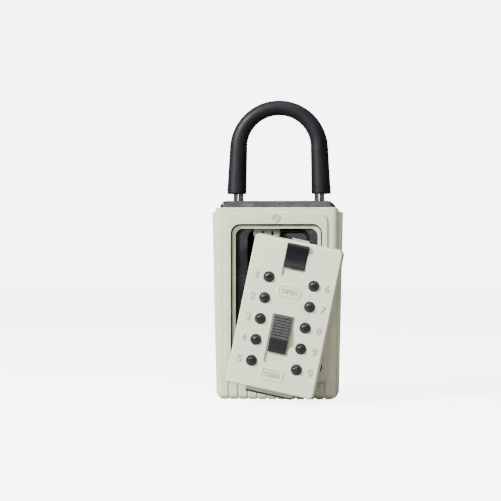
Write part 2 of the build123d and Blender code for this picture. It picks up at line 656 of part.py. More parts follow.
# ---- OPEN motion: knob, slide, bolt, gate plate and spring --------------------------------------
with BuildPart() as open_knob:
    with BuildSketch(across(-open_half)):
        with BuildLine():
            crest_v = open_high - open_ridge
            face = ThreePointArc(
                (open_low, open_lip_w),
                ((open_low + crest_v) / 2, open_dip_w),
                (crest_v, open_ridge_w - crest_flat / 2),
            )
            Polyline(
                face @ 1,
                (crest_v + open_ridge / 2, open_ridge_w),
                (open_high, open_ridge_w - open_ridge / 2),
                (open_high, foot),
                (open_low, foot),
                face @ 0,
            )
        make_face()
    extrude(amount=2 * open_half)
    with BuildSketch(lid_plane.offset(front_inner - slide_play)):
        span((-stem_half, open_stem_low), (stem_half, open_stem_high))
    extrude(amount=foot - front_inner + slide_play)
finish(open_knob, "open_knob")

with BuildPart() as latch_bolt:
    with BuildSketch(lid_plane.offset(bolt_low)):
        span((-bolt_half, bolt_tail), (bolt_half, half_height + bolt_reach))
    extrude(amount=bolt_high - bolt_low)
    with BuildSketch(lid_plane.offset(bolt_high)):
        span((-bolt_foot_half, bolt_tail), (bolt_foot_half, bolt_tail + bolt_foot_length))
    extrude(amount=slider_low - bolt_high)
finish(latch_bolt, "latch_bolt")

with BuildPart() as open_slide:
    with BuildSketch(lid_plane.offset(slider_low)):
        span((-open_half, open_slider_low), (open_half, open_slider_high))
    extrude(amount=slider_high - slider_low)
finish(open_slide, "open_slide")

with BuildPart() as gate_plate:
    with BuildSketch(lid_plane.offset(gate_w)):
        rounded_span((-gate_half, gate_low), (gate_half, gate_high), case_corner)
        for u, v in key_places.values():
            room = key_stem_radius + gate_room
            span((u - room, v - room), (u + room, v + room + open_travel), mode=Mode.SUBTRACT)
    extrude(amount=gate_thick)
    with BuildSketch(lid_plane.offset(gate_w + gate_thick)):
        span((-post_half, post_low), (post_half, post_high))
    extrude(amount=slider_low - gate_w - gate_thick)
finish(gate_plate, "gate_plate")

slider_mid = (slider_low + slider_high) / 2
with BuildPart() as open_spring:
    with BuildSketch(along(open_boss_v, slider_mid)):
        Circle(small_spring_radius)
        Circle(small_spring_radius - spring_wire, mode=Mode.SUBTRACT)
    extrude(amount=open_slider_low - open_boss_v)
finish(open_spring, "open_spring")

# ---- CLEAR motion: knob, slide and spring --------------------------------------------------------
with BuildPart() as clear_knob:
    with BuildSketch(across(-clear_half)):
        with BuildLine():
            slope = Line((clear_high, clear_high_w), (clear_crest + crest_flat, clear_crest_w))
            face = ThreePointArc(
                (clear_crest - crest_flat, clear_crest_w),
                ((clear_crest + clear_low) / 2, clear_low_w + clear_sag),
                (clear_low, clear_low_w),
            )
            Line(slope @ 1, face @ 0)
            Polyline(face @ 1, (clear_low, foot), (clear_high, foot), slope @ 0)
        make_face()
    extrude(amount=2 * clear_half)
    with BuildSketch(across(-clear_half)):
        with Locations(*[slope @ ((i + 1) / (clear_rib_count + 1)) for i in range(clear_rib_count)]):
            Circle(clear_rib_radius)
    extrude(amount=2 * clear_half, mode=Mode.SUBTRACT)
    with BuildSketch(lid_plane.offset(slider_high)):
        span((-stem_half, clear_stem_low), (stem_half, clear_stem_high))
    extrude(amount=foot - slider_high)
finish(clear_knob, "clear_knob")

with BuildPart() as clear_slide:
    with BuildSketch(lid_plane.offset(slider_low)):
        span((-clear_slider_half, clear_slider_low), (clear_slider_half, clear_slider_high))
    extrude(amount=slider_high - slider_low)
finish(clear_slide, "clear_slide")

with BuildPart() as clear_spring:
    with BuildSketch(along(clear_boss_v, case_front + small_spring_radius + slide_play)):
        Circle(small_spring_radius)
        Circle(small_spring_radius - spring_wire, mode=Mode.SUBTRACT)
    extrude(amount=clear_slider_low - clear_boss_v)
finish(clear_spring, "clear_spring")
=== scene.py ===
# %% [markdown]
# # A push-button key lock box
# The CAD model already holds every solid of the box in metres. This lesson gives those solids their
# paint, vinyl, plastic and steel, adds the raised figures and the wound springs, and lights them.
# A CAD piece keeps its mesh. It only receives a material, so that its size stays exact.

# %% Load the CAD frame and measure it
import json
from math import cos, pi, radians, sin

import bpy
from mathutils import Matrix, Vector


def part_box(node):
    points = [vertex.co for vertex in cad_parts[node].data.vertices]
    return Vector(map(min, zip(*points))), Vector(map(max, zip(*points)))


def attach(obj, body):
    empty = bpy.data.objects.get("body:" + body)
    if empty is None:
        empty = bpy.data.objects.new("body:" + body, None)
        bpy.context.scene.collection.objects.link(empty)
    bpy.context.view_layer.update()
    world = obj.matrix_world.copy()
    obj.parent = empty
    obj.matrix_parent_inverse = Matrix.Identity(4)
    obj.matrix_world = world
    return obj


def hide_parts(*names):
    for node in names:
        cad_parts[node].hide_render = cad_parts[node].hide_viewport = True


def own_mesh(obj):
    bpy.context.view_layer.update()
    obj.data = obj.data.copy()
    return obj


MM = 0.001
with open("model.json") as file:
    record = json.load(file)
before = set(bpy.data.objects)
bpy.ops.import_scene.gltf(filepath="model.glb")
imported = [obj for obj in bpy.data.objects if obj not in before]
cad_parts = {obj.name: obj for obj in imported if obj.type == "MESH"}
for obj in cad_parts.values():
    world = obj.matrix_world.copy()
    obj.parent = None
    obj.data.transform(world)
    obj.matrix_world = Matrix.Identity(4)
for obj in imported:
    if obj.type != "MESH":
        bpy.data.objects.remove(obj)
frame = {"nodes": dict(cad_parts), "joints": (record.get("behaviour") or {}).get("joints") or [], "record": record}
nodes = frame["nodes"]
record = frame["record"]
joints = {joint["name"]: joint for joint in frame["joints"]}
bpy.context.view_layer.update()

# %% [markdown]
# ## The lid's own directions
# The lid is turned a little clockwise, so its pieces are easiest to place in its own plane: u runs to
# its right, v runs up along it, and w comes out of its face. The opening knob slides straight down
# the lid, so the axis of that joint gives v without a measurement.

# %% Find the lid's plane
lid_v = -Vector(joints["open_press"]["axis"]).normalized()
lid_w = Vector((0, -1, 0))
lid_u = lid_v.cross(lid_w)
lid_centre = Vector(joints["lid_turn"]["pos_m"])
FRAME_RISE = 0.4 * MM
lid_face_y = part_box("lid_cover")[0].y + FRAME_RISE


def lid_place(point):
    """The (u, v) of a point, from the lid's centre."""
    offset = Vector(point) - lid_centre
    return offset.dot(lid_u), offset.dot(lid_v)


def on_lid(u, v, y):
    """The point at (u, v) of the lid, at a given depth."""
    point = lid_centre + lid_u * u + lid_v * v
    return Vector((point.x, y, point.z))


print("lid right", [round(x, 3) for x in lid_u], "lid up", [round(x, 3) for x in lid_v])

# %% [markdown]
# ## The camera
# A long lens from a metre away flattens the box as a catalogue view does. The camera stands level
# with the middle of the box and a few degrees to its right. A small shift sets the box right of the
# frame's centre without turning the camera, which would tilt the upright edges.

# %% Place the camera
CAMERA_DISTANCE = 1.0
CAMERA_TURN = radians(4.2)
CAMERA_HEIGHT = 0.08755
CAMERA_LENS = 119.84
CAMERA_SENSOR = 36
CAMERA_SHIFT = -0.0568
camera_data = bpy.data.cameras.new("camera")
camera_data.lens = CAMERA_LENS
camera_data.sensor_width = CAMERA_SENSOR
camera_data.shift_x = CAMERA_SHIFT
camera = bpy.data.objects.new("camera", camera_data)
camera.location = (
    CAMERA_DISTANCE * sin(CAMERA_TURN),
    -CAMERA_DISTANCE * cos(CAMERA_TURN),
    CAMERA_HEIGHT,
)
camera.rotation_euler = (pi / 2, 0, CAMERA_TURN)
bpy.context.scene.collection.objects.link(camera)
bpy.context.scene.camera = camera
print("camera", [round(x, 3) for x in camera.location])

# %% [markdown]
# ## Helpers for shader trees
# A material is a small graph. Helpers keep each graph readable: one adds a node and fills its
# sockets by name, one starts a material with its Principled BSDF in place, and one starts a node
# group that several materials share. What is the same all over a surface is set on the shader's own
# sockets.


# %% Node helpers
def add_node(tree, kind, **values):
    """A new node of a kind, with its properties or sockets set by name (spaces as underscores)."""
    node = tree.nodes.new(kind)
    for key, value in values.items():
        if hasattr(node, key):
            setattr(node, key, value)
        else:
            node.inputs[key.replace("_", " ")].default_value = value
    return node


def new_material(name, **values):
    """A material with a Principled BSDF, whose plain sockets are set by name."""
    material = bpy.data.materials.new(name)
    material.use_nodes = True
    shader = material.node_tree.nodes["Principled BSDF"]
    for key, value in values.items():
        shader.inputs[key.replace("_", " ")].default_value = value
    return material, material.node_tree, shader


def grey(level):
    """A neutral colour."""
    return (level, level, level, 1.0)


def new_group(name, inputs, outputs):
    """A shader node group with named sockets, and its input and output nodes."""
    group = bpy.data.node_groups.new(name, "ShaderNodeTree")
    for socket, kind, default in inputs:
        made = group.interface.new_socket(socket, in_out="INPUT", socket_type=kind)
        made.default_value = default
    for socket, kind in outputs:
        group.interface.new_socket(socket, in_out="OUTPUT", socket_type=kind)
    return group, group.nodes.new("NodeGroupInput"), group.nodes.new("NodeGroupOutput")


FLOAT, COLOUR = "NodeSocketFloat", "NodeSocketColor"
print("helpers ready")

# %% [markdown]
# ## Grain, shared by paint, vinyl and plastic
# Sprayed paint has orange peel, and moulded vinyl has a fine leathery tooth. Both are a low bump with
# two sizes of noise. One node group serves them all, with its scale given by each material.

# %% Group: fine grain
COARSE_SHARE = 0.22
grain, grain_in, grain_out = new_group(
    "fine_grain",
    [("Scale", FLOAT, 1500.0), ("Waviness", FLOAT, 0.5)],
    [("Height", FLOAT)],
)
grain_place = add_node(grain, "ShaderNodeTexCoord")
fine = add_node(grain, "ShaderNodeTexNoise", Detail=4.0, Roughness=0.6)
coarse_scale = add_node(grain, "ShaderNodeMath", operation="MULTIPLY")
coarse_scale.inputs[1].default_value = COARSE_SHARE
coarse = add_node(grain, "ShaderNodeTexNoise", Detail=2.0)
blend = add_node(grain, "ShaderNodeMix", data_type="FLOAT")
for noise in (fine, coarse):
    grain.links.new(grain_place.outputs["Object"], noise.inputs["Vector"])
grain.links.new(grain_in.outputs["Scale"], fine.inputs["Scale"])
grain.links.new(grain_in.outputs["Scale"], coarse_scale.inputs[0])
grain.links.new(coarse_scale.outputs[0], coarse.inputs["Scale"])
grain.links.new(grain_in.outputs["Waviness"], blend.inputs["Factor"])
grain.links.new(fine.outputs["Fac"], blend.inputs[2])
grain.links.new(coarse.outputs["Fac"], blend.inputs[3])
grain.links.new(blend.outputs[0], grain_out.inputs["Height"])
print("group", grain.name)

# %% [markdown]
# ## Mottle, for colour that isn't quite even
# No moulded or painted surface is one flat colour. A large soft noise moves the colour between two
# close tones, and the same noise moves the roughness, as handling does.

# %% Group: soft mottle
mottle, mottle_in, mottle_out = new_group(
    "soft_mottle",
    [
        ("Tone", COLOUR, grey(0.5)),
        ("Second Tone", COLOUR, grey(0.45)),
        ("Scale", FLOAT, 60.0),
        ("Smooth", FLOAT, 0.3),
        ("Rough", FLOAT, 0.5),
    ],
    [("Color", COLOUR), ("Roughness", FLOAT)],
)
mottle_place = add_node(mottle, "ShaderNodeTexCoord")
patches = add_node(mottle, "ShaderNodeTexNoise", Detail=6.0, Roughness=0.65)
patch_range = add_node(mottle, "ShaderNodeMapRange", From_Min=0.35, From_Max=0.65)
patch_tone = add_node(mottle, "ShaderNodeMix", data_type="RGBA")
patch_rough = add_node(mottle, "ShaderNodeMix", data_type="FLOAT")
mottle.links.new(mottle_place.outputs["Object"], patches.inputs["Vector"])
mottle.links.new(mottle_in.outputs["Scale"], patches.inputs["Scale"])
mottle.links.new(patches.outputs["Fac"], patch_range.inputs["Value"])
mottle.links.new(patch_range.outputs["Result"], patch_tone.inputs[0])
mottle.links.new(mottle_in.outputs["Tone"], patch_tone.inputs[6])
mottle.links.new(mottle_in.outputs["Second Tone"], patch_tone.inputs[7])
mottle.links.new(patch_range.outputs["Result"], patch_rough.inputs["Factor"])
mottle.links.new(mottle_in.outputs["Smooth"], patch_rough.inputs[2])
mottle.links.new(mottle_in.outputs["Rough"], patch_rough.inputs[3])
mottle.links.new(patch_tone.outputs[2], mottle_out.inputs["Color"])
mottle.links.new(patch_rough.outputs[0], mottle_out.inputs["Roughness"])
print("group", mottle.name)

# %% [markdown]
# ## Brushing, for the metal pieces
# Drawn and brushed steel carries fine lines in one direction. Squeezing the noise's coordinates along
# that direction turns round spots into long lines. The stretch is an input, so a rod and a plate can
# each have lines along their own length.

# %% Group: brushed lines
brushed, brushed_in, brushed_out = new_group(
    "brushed_lines",
    [
        ("Stretch", "NodeSocketVector", (40.0, 900.0, 900.0)),
        ("Smooth", FLOAT, 0.2),
        ("Rough", FLOAT, 0.4),
    ],
    [("Height", FLOAT), ("Roughness", FLOAT)],
)
brushed_place = add_node(brushed, "ShaderNodeTexCoord")
squeeze = add_node(brushed, "ShaderNodeVectorMath", operation="MULTIPLY")
lines = add_node(brushed, "ShaderNodeTexNoise", Scale=3.0, Detail=3.0)
line_rough = add_node(brushed, "ShaderNodeMix", data_type="FLOAT")
brushed.links.new(brushed_place.outputs["Object"], squeeze.inputs[0])
brushed.links.new(brushed_in.outputs["Stretch"], squeeze.inputs[1])
brushed.links.new(squeeze.outputs[0], lines.inputs["Vector"])
brushed.links.new(lines.outputs["Fac"], line_rough.inputs["Factor"])
brushed.links.new(brushed_in.outputs["Smooth"], line_rough.inputs[2])
brushed.links.new(brushed_in.outputs["Rough"], line_rough.inputs[3])
brushed.links.new(lines.outputs["Fac"], brushed_out.inputs["Height"])
brushed.links.new(line_rough.outputs[0], brushed_out.inputs["Roughness"])
print("group", brushed.name)

# %% [markdown]
# ## Dust on what faces up
# A box that hangs outdoors gathers a little dust on its ledges. The surface's own normal says which
# way it faces, so a mask of normal times noise puts the dust only there, from every view.

# %% Group: settled dust
dust, dust_in, dust_out = new_group(
    "settled_dust",
    [
        ("Color", COLOUR, grey(0.5)),
        ("Dust", COLOUR, (0.42, 0.41, 0.37, 1)),
        ("Roughness", FLOAT, 0.3),
        ("Amount", FLOAT, 0.3),
    ],
    [("Color", COLOUR), ("Roughness", FLOAT)],
)
facing = add_node(dust, "ShaderNodeNewGeometry")
facing_parts = add_node(dust, "ShaderNodeSeparateXYZ")
upward = add_node(dust, "ShaderNodeMapRange", From_Min=0.3, From_Max=1.0)
dust_place = add_node(dust, "ShaderNodeTexCoord")
specks = add_node(dust, "ShaderNodeTexNoise", Scale=900.0, Detail=5.0)
speck_range = add_node(dust, "ShaderNodeMapRange", From_Min=0.4, From_Max=0.8)
dust_mask = add_node(dust, "ShaderNodeMath", operation="MULTIPLY")
dust_share = add_node(dust, "ShaderNodeMath", operation="MULTIPLY")
dust_tone = add_node(dust, "ShaderNodeMix", data_type="RGBA")
dust_rough = add_node(dust, "ShaderNodeMath", operation="ADD", use_clamp=True)
dust.links.new(facing.outputs["Normal"], facing_parts.inputs[0])
dust.links.new(facing_parts.outputs["Z"], upward.inputs["Value"])
dust.links.new(dust_place.outputs["Object"], specks.inputs["Vector"])
dust.links.new(specks.outputs["Fac"], speck_range.inputs["Value"])
dust.links.new(upward.outputs["Result"], dust_mask.inputs[0])
dust.links.new(speck_range.outputs["Result"], dust_mask.inputs[1])
dust.links.new(dust_mask.outputs[0], dust_share.inputs[0])
dust.links.new(dust_in.outputs["Amount"], dust_share.inputs[1])
dust.links.new(dust_share.outputs[0], dust_tone.inputs[0])
dust.links.new(dust_in.outputs["Color"], dust_tone.inputs[6])
dust.links.new(dust_in.outputs["Dust"], dust_tone.inputs[7])
dust.links.new(dust_in.outputs["Roughness"], dust_rough.inputs[0])
dust.links.new(dust_share.outputs[0], dust_rough.inputs[1])
dust.links.new(dust_tone.outputs[2], dust_out.inputs["Color"])
dust.links.new(dust_rough.outputs[0], dust_out.inputs["Roughness"])
print("group", dust.name)

# %% [markdown]
# ## Coated finishes
# The cover's powder coat, the jacket's vinyl, the gloss black casting and the moulded plastics are
# all a coloured layer over something else. They differ in tone, grain and gloss, so one function
# wires the groups, and each finish is a line of its own values.


# %% Build a coated finish
def coated(name, tones, rough, grain_scale, grain_depth, dusty=0.0, **plain):
    """A material of mottled colour with grain, and dust on what faces up."""
    material, tree, shader = new_material(name, **plain)
    colour = add_node(tree, "ShaderNodeGroup", node_tree=mottle)
    colour.inputs["Tone"].default_value = (*tones[0], 1)
    colour.inputs["Second Tone"].default_value = (*tones[1], 1)
    colour.inputs["Smooth"].default_value = rough[0]
    colour.inputs["Rough"].default_value = rough[1]
    cover = add_node(tree, "ShaderNodeGroup", node_tree=dust)
    cover.inputs["Amount"].default_value = dusty
    tree.links.new(colour.outputs["Color"], cover.inputs["Color"])
    tree.links.new(colour.outputs["Roughness"], cover.inputs["Roughness"])
    tree.links.new(cover.outputs["Color"], shader.inputs["Base Color"])
    tree.links.new(cover.outputs["Roughness"], shader.inputs["Roughness"])
    tooth = add_node(tree, "ShaderNodeGroup", node_tree=grain)
    tooth.inputs["Scale"].default_value = grain_scale
    bump = add_node(tree, "ShaderNodeBump", Strength=0.5, Distance=grain_depth)
    tree.links.new(tooth.outputs["Height"], bump.inputs["Height"])
    tree.links.new(bump.outputs["Normal"], shader.inputs["Normal"])
    print("finish", name)
    return material


finishes = {}
finishes["jacket_vinyl"] = coated(
    "jacket_vinyl",
    ((0.62, 0.63, 0.45), (0.57, 0.58, 0.40)),
    rough=(0.42, 0.6),
    grain_scale=2600.0,
    grain_depth=0.05 * MM,
    dusty=0.1,
)
finishes["cream_paint"] = coated(
    "cream_paint",
    ((0.70, 0.71, 0.53), (0.66, 0.67, 0.49)),
    rough=(0.3, 0.45),
    grain_scale=1800.0,
    grain_depth=0.03 * MM,
    dusty=0.05,
)
finishes["black_paint"] = coated(
    "black_paint",
    ((0.008, 0.008, 0.010), (0.014, 0.014, 0.016)),
    rough=(0.1, 0.25),
    grain_scale=900.0,
    grain_depth=0.02 * MM,
    dusty=0.03,
)
finishes["sleeve_vinyl"] = coated(
    "sleeve_vinyl",
    ((0.004, 0.004, 0.006), (0.007, 0.008, 0.010)),
    rough=(0.42, 0.6),
    grain_scale=1600.0,
    grain_depth=0.04 * MM,
    Specular_IOR_Level=0.2,
)

# %% [markdown]
# ## The dark line round the recess
# Inside the recess, a narrow groove separates the jacket from the casting's rim. Light hardly reaches
# it, so its shade is painted: the vinyl at its bottom is coloured almost black. The mask is a block in
# the object's own coordinates, whose depth is taken from the front of the CAD housing.

# %% Paint shade into the groove's bottom
# The near-black colour of the painted shade at the groove's bottom.
GROOVE_SHADE_TONE = (0.012, 0.013, 0.010, 1)
GROOVE_PROUD = 1.2 * MM
GROOVE_HALF = 27.2 * MM
GROOVE_LOW, GROOVE_HIGH = 13.6 * MM, 103.5 * MM
groove_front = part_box("housing")[0].y - GROOVE_PROUD


def add_limit(tree, source, operation, limit):
    """A mask that is 1 where a coordinate is above or below a limit."""
    test = add_node(tree, "ShaderNodeMath", operation=operation)
    test.inputs[1].default_value = limit
    tree.links.new(source, test.inputs[0])
    return test.outputs[0]


jacket_tree = finishes["jacket_vinyl"].node_tree
jacket_shader = jacket_tree.nodes["Principled BSDF"]
plain_colour = jacket_shader.inputs["Base Color"].links[0].from_socket
place = add_node(jacket_tree, "ShaderNodeTexCoord")
parts = add_node(jacket_tree, "ShaderNodeSeparateXYZ")
size_x = add_node(jacket_tree, "ShaderNodeMath", operation="ABSOLUTE")
jacket_tree.links.new(place.outputs["Object"], parts.inputs[0])
jacket_tree.links.new(parts.outputs["X"], size_x.inputs[0])
masks = [
    add_limit(jacket_tree, parts.outputs["Y"], "GREATER_THAN", groove_front),
    add_limit(jacket_tree, size_x.outputs[0], "LESS_THAN", GROOVE_HALF),
    add_limit(jacket_tree, parts.outputs["Z"], "GREATER_THAN", GROOVE_LOW),
    add_limit(jacket_tree, parts.outputs["Z"], "LESS_THAN", GROOVE_HIGH),
]
inside = masks[0]
for mask in masks[1:]:
    both = add_node(jacket_tree, "ShaderNodeMath", operation="MULTIPLY")
    jacket_tree.links.new(inside, both.inputs[0])
    jacket_tree.links.new(mask, both.inputs[1])
    inside = both.outputs[0]
# Mixes the painted shade into the vinyl's colour inside the block.
groove_shade_mix = add_node(jacket_tree, "ShaderNodeMix", data_type="RGBA")
groove_shade_mix.inputs[7].default_value = GROOVE_SHADE_TONE
jacket_tree.links.new(inside, groove_shade_mix.inputs[0])
jacket_tree.links.new(plain_colour, groove_shade_mix.inputs[6])
jacket_tree.links.new(groove_shade_mix.outputs[2], jacket_shader.inputs["Base Color"])
print("groove darkened behind y =", round(groove_front, 4))

# %% [markdown]
# ## Figures in a darker paint
# The raised figures are in a darker copy of the cover's paint, which is painted shade round their
# embossed edges, so they can be read. The badge disc takes the same paint as its own grey tone.

# %% Painted shade for the figures, and the disc's own tone
# Darker cover paint: painted shade on the figures, and the badge disc's own tone.
finishes["figure_shade_and_disc_paint"] = coated(
    "figure_shade_and_disc_paint",
    ((0.40, 0.41, 0.30), (0.48, 0.49, 0.37)),
    rough=(0.35, 0.5),
    grain_scale=1800.0,
    grain_depth=0.02 * MM,
)

# %% [markdown]
# ## Moulded plastics
# The knobs and buttons are polished by fingers, so they are smooth with faint smudges. The opening
# knob is the same plastic, but it gets a darker, duller copy of it, which is painted shade. The collars
# round the buttons and the bushes round the shackle are duller nylon. The release slide inside the
# cavity is a dark grey-green.

# %% Plastics
finishes["knob_plastic"] = coated(
    "knob_plastic",
    ((0.006, 0.006, 0.008), (0.012, 0.012, 0.014)),
    rough=(0.16, 0.34),
    grain_scale=2200.0,
    grain_depth=0.015 * MM,
)
# A darker, duller copy of the knob plastic: painted shade on the opening knob.
finishes["open_knob_shaded_plastic"] = coated(
    "open_knob_shaded_plastic",
    ((0.004, 0.004, 0.005), (0.007, 0.007, 0.008)),
    rough=(0.3, 0.42),
    grain_scale=2200.0,
    grain_depth=0.015 * MM,
    Specular_IOR_Level=0.22,
)
finishes["button_plastic"] = coated(
    "button_plastic",
    ((0.005, 0.005, 0.006), (0.010, 0.010, 0.012)),
    rough=(0.08, 0.2),
    grain_scale=2200.0,
    grain_depth=0.01 * MM,
)
finishes["collar_plastic"] = coated(
    "collar_plastic",
    ((0.012, 0.012, 0.013), (0.020, 0.020, 0.021)),
    rough=(0.3, 0.45),
    grain_scale=2400.0,
    grain_depth=0.02 * MM,
)
finishes["bush_nylon"] = coated(
    "bush_nylon",
    ((0.012, 0.012, 0.012), (0.022, 0.022, 0.022)),
    rough=(0.35, 0.55),
    grain_scale=2400.0,
    grain_depth=0.02 * MM,
)
finishes["slide_plastic"] = coated(
    "slide_plastic",
    ((0.33, 0.36, 0.30), (0.28, 0.31, 0.26)),
    rough=(0.35, 0.5),
    grain_scale=2000.0,
    grain_depth=0.03 * MM,
)
finishes["black_steel"] = coated(
    "black_steel",
    ((0.010, 0.010, 0.010), (0.022, 0.021, 0.020)),
    rough=(0.25, 0.45),
    grain_scale=1500.0,
    grain_depth=0.02 * MM,
)

# %% [markdown]
# ## Bare metals
# The shackle's rod is polished and plated, the plates are zinc-plated sheet, and the springs are
# drawn wire. All are fully metallic, and what tells them apart is how rough they are and which way
# their lines run.


# %% Build a metal finish
def metal(name, tone, stretch, rough, depth):
    """A bare metal with fine lines along one direction."""
    material, tree, shader = new_material(name, Metallic=1.0, Base_Color=(*tone, 1))
    streaks = add_node(tree, "ShaderNodeGroup", node_tree=brushed)
    streaks.inputs["Stretch"].default_value = stretch
    streaks.inputs["Smooth"].default_value = rough[0]
    streaks.inputs["Rough"].default_value = rough[1]
    bump = add_node(tree, "ShaderNodeBump", Strength=0.4, Distance=depth)
    tree.links.new(streaks.outputs["Roughness"], shader.inputs["Roughness"])
    tree.links.new(streaks.outputs["Height"], bump.inputs["Height"])
    tree.links.new(bump.outputs["Normal"], shader.inputs["Normal"])
    print("finish", name)
    return material


ALONG_X, ALONG_Z = (20.0, 700.0, 700.0), (700.0, 700.0, 20.0)
finishes["zinc_steel"] = metal(
    "zinc_steel", (0.56, 0.57, 0.56), ALONG_X, rough=(0.28, 0.46), depth=0.02 * MM
)
finishes["polished_steel"] = metal(
    "polished_steel", (0.72, 0.72, 0.71), ALONG_Z, rough=(0.08, 0.2), depth=0.005 * MM
)
finishes["spring_steel"] = metal(
    "spring_steel", (0.5, 0.5, 0.49), ALONG_X, rough=(0.22, 0.38), depth=0.01 * MM
)

# %% [markdown]
# ## Put the finishes on the CAD pieces
# The record says which finish each CAD piece has, so one loop covers every node.

# %% Assign the finishes
for entry in record["subparts"]:
    mesh = nodes[entry["node"]].data
    mesh.materials.clear()
    mesh.materials.append(finishes[entry["material_slot"]])
# The opening knob gets the shaded copy of the knob plastic.
nodes["open_knob"].data.materials[0] = finishes["open_knob_shaded_plastic"]
# The badge disc takes the darker paint as its own tone.
nodes["bezel_disc"].data.materials[0] = finishes["figure_shade_and_disc_paint"]
print("pieces with a finish:", len(record["subparts"]))

# %% [markdown]
# ## Raised figures beside the buttons
# The figures 1 to 0 stand up from the cover, so they are geometry that catches the light and not a
# picture; their darker paint adds painted shade. Blender's plain sans letters are turned into a mesh
# with a small bevel, and each is set level with its button, in the margin.

# %% Raised figures and words
FIGURE_RISE = 0.4 * MM
FIGURE_SINK = 0.05 * MM
FIGURE_EDGE = 0.08 * MM
LETTER_DEPTH, LETTER_SPREAD = 0.5, 0.012


def raised_text(name, words, u, v, height, width):
    """Letters in a darker paint that is painted shade, standing on the lid's face, fitted to a height and a width.
    """
    letters = bpy.data.curves.new(name, "FONT")
    letters.body = words
    letters.align_x, letters.align_y = "CENTER", "CENTER"
    letters.extrude = LETTER_DEPTH
    letters.offset = LETTER_SPREAD
    draft = bpy.data.objects.new(name, letters)
    bpy.context.scene.collection.objects.link(draft)
    bpy.context.view_layer.update()
    depsgraph = bpy.context.evaluated_depsgraph_get()
    mesh = bpy.data.meshes.new_from_object(draft.evaluated_get(depsgraph))
    bpy.data.objects.remove(draft)
    low = [min(vertex.co[i] for vertex in mesh.vertices) for i in range(3)]
    high = [max(vertex.co[i] for vertex in mesh.vertices) for i in range(3)]
    middle = Vector([(a + b) / 2 for a, b in zip(low, high)])
    rise = FIGURE_RISE + FIGURE_SINK
    scale = Matrix.Diagonal((width / (high[0] - low[0]), height / (high[1] - low[1]), rise, 1))
    turn = Matrix((lid_u, lid_v, lid_w)).transposed().to_4x4()
    place = Matrix.Translation(on_lid(u, v, lid_face_y - (FIGURE_RISE - FIGURE_SINK) / 2))
    mesh.transform(place @ turn @ scale @ Matrix.Translation(-middle))
    mesh.materials.clear()
    # The figures' darker paint is painted shade.
    mesh.materials.append(finishes["figure_shade_and_disc_paint"])
    piece = bpy.data.objects.new(name, mesh)
    bpy.context.scene.collection.objects.link(piece)
    bevel = piece.modifiers.new("edge", "BEVEL")
    bevel.width = FIGURE_EDGE
    bevel.segments = 2
    bevel.limit_method = "ANGLE"
    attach(piece, "lid")


LEFT_MARGIN, RIGHT_MARGIN = -20.0 * MM, 20.7 * MM
FIGURE_HEIGHT, FIGURE_WIDTH, ONE_WIDTH = 3.9 * MM, 2.7 * MM, 1.3 * MM
for digit in "1234567890":
    low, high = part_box("button_" + digit)
    u, v = lid_place((low + high) / 2)
    margin = LEFT_MARGIN if u < 0 else RIGHT_MARGIN
    width = ONE_WIDTH if digit == "1" else FIGURE_WIDTH
    raised_text("figure_" + digit, digit, margin, v, FIGURE_HEIGHT, width)
print("raised figures: 10")

# %% [markdown]
# The two label frames hold the plain words for what the knobs do.

# %% Words in the label frames
WORD_HEIGHT = 2.7 * MM
OPEN_WORD_V, OPEN_WIDTH = 14.35 * MM, 8.6 * MM
CLEAR_WORD_V, CLEAR_WIDTH = -33.5 * MM, 9.2 * MM
raised_text("word_open", "OPEN", 0, OPEN_WORD_V, WORD_HEIGHT, OPEN_WIDTH)
raised_text("word_clear", "CLEAR", 0, CLEAR_WORD_V, WORD_HEIGHT, CLEAR_WIDTH)
print("words: 2")

# %% [markdown]
# ## Wound springs
# CAD keeps each spring as a plain tube. A real one is a wire wound on a helix, with closed turns at
# its ends. The wire is swept here as rings of points: each ring stands across the wire, and rings
# are joined by quads.

# %% Wind a spring
WIRE = 0.45 * MM
RING_POINTS, TURN_POINTS = 8, 20
END_PITCH = 0.5


def rings_along(start, axis, length, outer, turns):
    """Points of rings that stand across a wire, wound about axis from start."""
    side = axis.orthogonal().normalized()
    back = axis.cross(side)
    count = turns * TURN_POINTS
    points = []
    for i in range(count + 1):
        share = i / count
        closed = min(share, 1 - share, 1 / turns) * turns
        end_turn = END_PITCH / turns * closed
        eased = share
        if closed < 1:
            eased = end_turn if share < 0.5 else 1 - end_turn
        angle = 2 * pi * i / TURN_POINTS
        outward = side * cos(angle) + back * sin(angle)
        centre = start + axis * (length - WIRE) * eased + outward * (outer - WIRE / 2)
        for k in range(RING_POINTS):
            round_angle = 2 * pi * k / RING_POINTS
            spoke = outward * cos(round_angle) + axis * sin(round_angle)
            points.append(centre + spoke * WIRE / 2)
    return points, count


def ring_faces(count):
    """Quads that join each ring to the next, and a cap at both ends."""
    faces = []
    for i in range(count):
        for k in range(RING_POINTS):
            a, b = i * RING_POINTS + k, i * RING_POINTS + (k + 1) % RING_POINTS
            faces.append((a, b, b + RING_POINTS, a + RING_POINTS))
    faces.append(tuple(reversed(range(RING_POINTS))))
    faces.append(tuple(range(count * RING_POINTS, (count + 1) * RING_POINTS)))
    return faces


print("wire", WIRE, "m thick")

# %% [markdown]
# A spring on the tilted lid fills its upright box at an angle, so its length is worked out from the
# box's longest side. The wire then stands for the tube.


